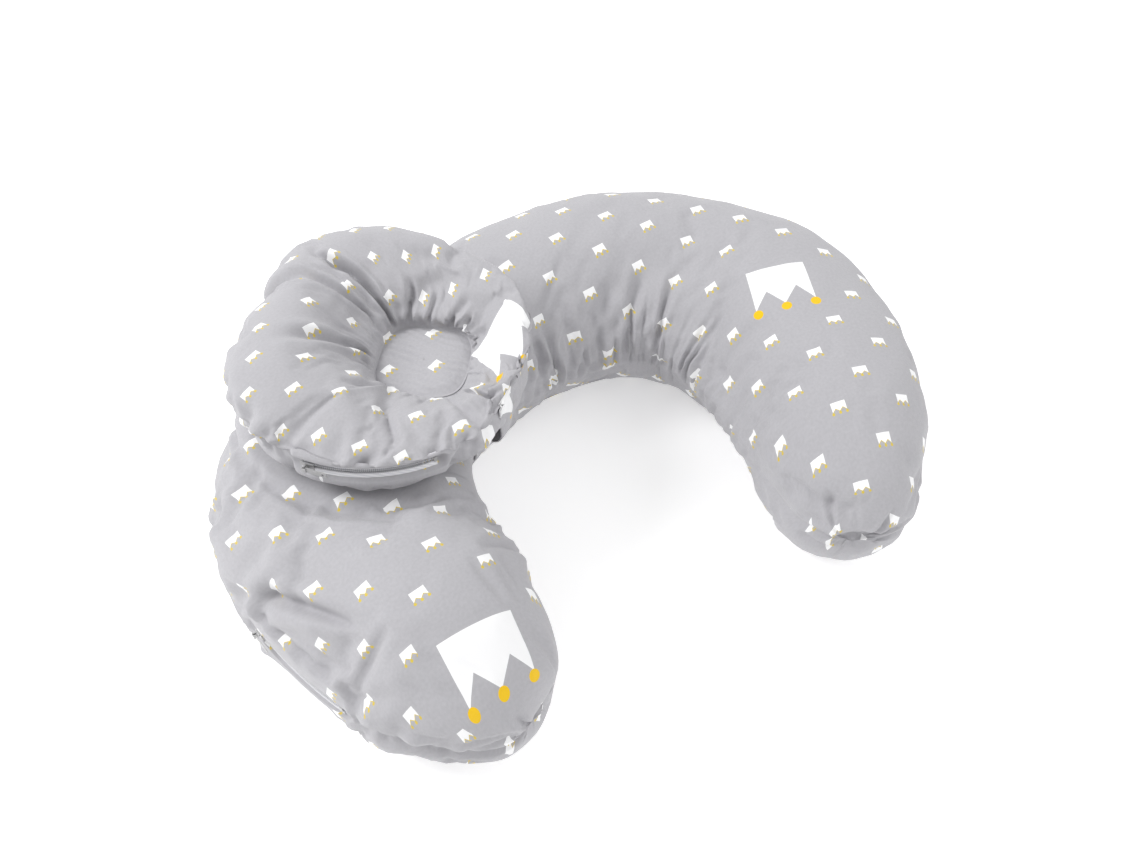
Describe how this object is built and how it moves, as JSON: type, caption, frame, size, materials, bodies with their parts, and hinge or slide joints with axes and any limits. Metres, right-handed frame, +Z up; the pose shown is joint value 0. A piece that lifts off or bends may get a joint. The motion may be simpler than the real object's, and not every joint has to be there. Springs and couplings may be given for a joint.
{
  "type": "nursing pillow",
  "caption": "U-shaped nursing pillow in printed cotton with a small ring-shaped head pillow strapped to one shoulder; both have zipped covers over filled inner bags.",
  "frame": {"origin": "middle of the overall box, on the surface the pillow lies on", "axes": "+X along the width from arm to arm, +Y from the open side to the back of the U, +Z up"},
  "size_m": [0.6262, 0.45, 0.218],
  "materials": {
    "print_cloth": "plain-weave cotton, light grey with a white and yellow print",
    "lining_cloth": "white lining cloth",
    "fibre_filling": "polyester fibre",
    "zip_tape": "woven tape",
    "zip_coil": "nylon coil",
    "zip_metal": "painted zinc"
  },
  "bodies": {
    "main": {"main_cover_upper": "print_cloth", "main_cover_lower": "print_cloth", "main_bag_upper": "lining_cloth", "main_bag_lower": "lining_cloth", "main_filling": "fibre_filling", "main_zip_tape_upper": "zip_tape", "main_zip_tape_lower": "zip_tape", "main_zip_coil_upper": "zip_coil", "main_zip_coil_lower": "zip_coil", "main_zip_stop_start": "zip_metal", "main_zip_stop_end": "zip_metal", "strap": "print_cloth"},
    "head": {"head_ring_panel": "print_cloth", "head_centre_panel": "print_cloth", "head_back_panel": "print_cloth", "head_bag_upper": "lining_cloth", "head_bag_lower": "lining_cloth", "head_ring_filling": "fibre_filling", "head_centre_pad": "fibre_filling", "head_zip_tape_upper": "zip_tape", "head_zip_tape_lower": "zip_tape", "head_zip_coil_upper": "zip_coil", "head_zip_coil_lower": "zip_coil", "head_zip_stop_start": "zip_metal", "head_zip_stop_end": "zip_metal"},
    "main_slider": {"main_zip_slider": "zip_metal"},
    "main_pull": {"main_zip_pull": "zip_metal"},
    "head_slider": {"head_zip_slider": "zip_metal"},
    "head_pull": {"head_zip_pull": "zip_metal"}
  },
  "joints": [
    {"name": "head_fold", "type": "hinge", "parent": "main", "child": "head", "pos_m": [-0.04123, -0.00709, 0.182], "axis": [0.6428, 0.766, 0], "range_deg": [0, 100]},
    {"name": "main_zip_run", "type": "hinge", "parent": "main", "child": "main_slider", "pos_m": [0.08089, 0.01738, 0.074], "axis": [0, 0, 1], "range_deg": [0, 12.53]},
    {"name": "main_pull_swing", "type": "hinge", "parent": "main_slider", "child": "main_pull", "pos_m": [-0.31127, -0.04227, 0.074], "axis": [0, 0, 1], "range_deg": [-150, 0]},
    {"name": "head_zip_run", "type": "hinge", "parent": "head", "child": "head_slider", "pos_m": [-0.13315, 0.07004, 0.182], "axis": [0, 0, 1], "range_deg": [0, 42.25]},
    {"name": "head_pull_swing", "type": "hinge", "parent": "head_slider", "child": "head_pull", "pos_m": [-0.2309, -0.00363, 0.182], "axis": [0, 0, 1], "range_deg": [-150, 0]}
  ]
}
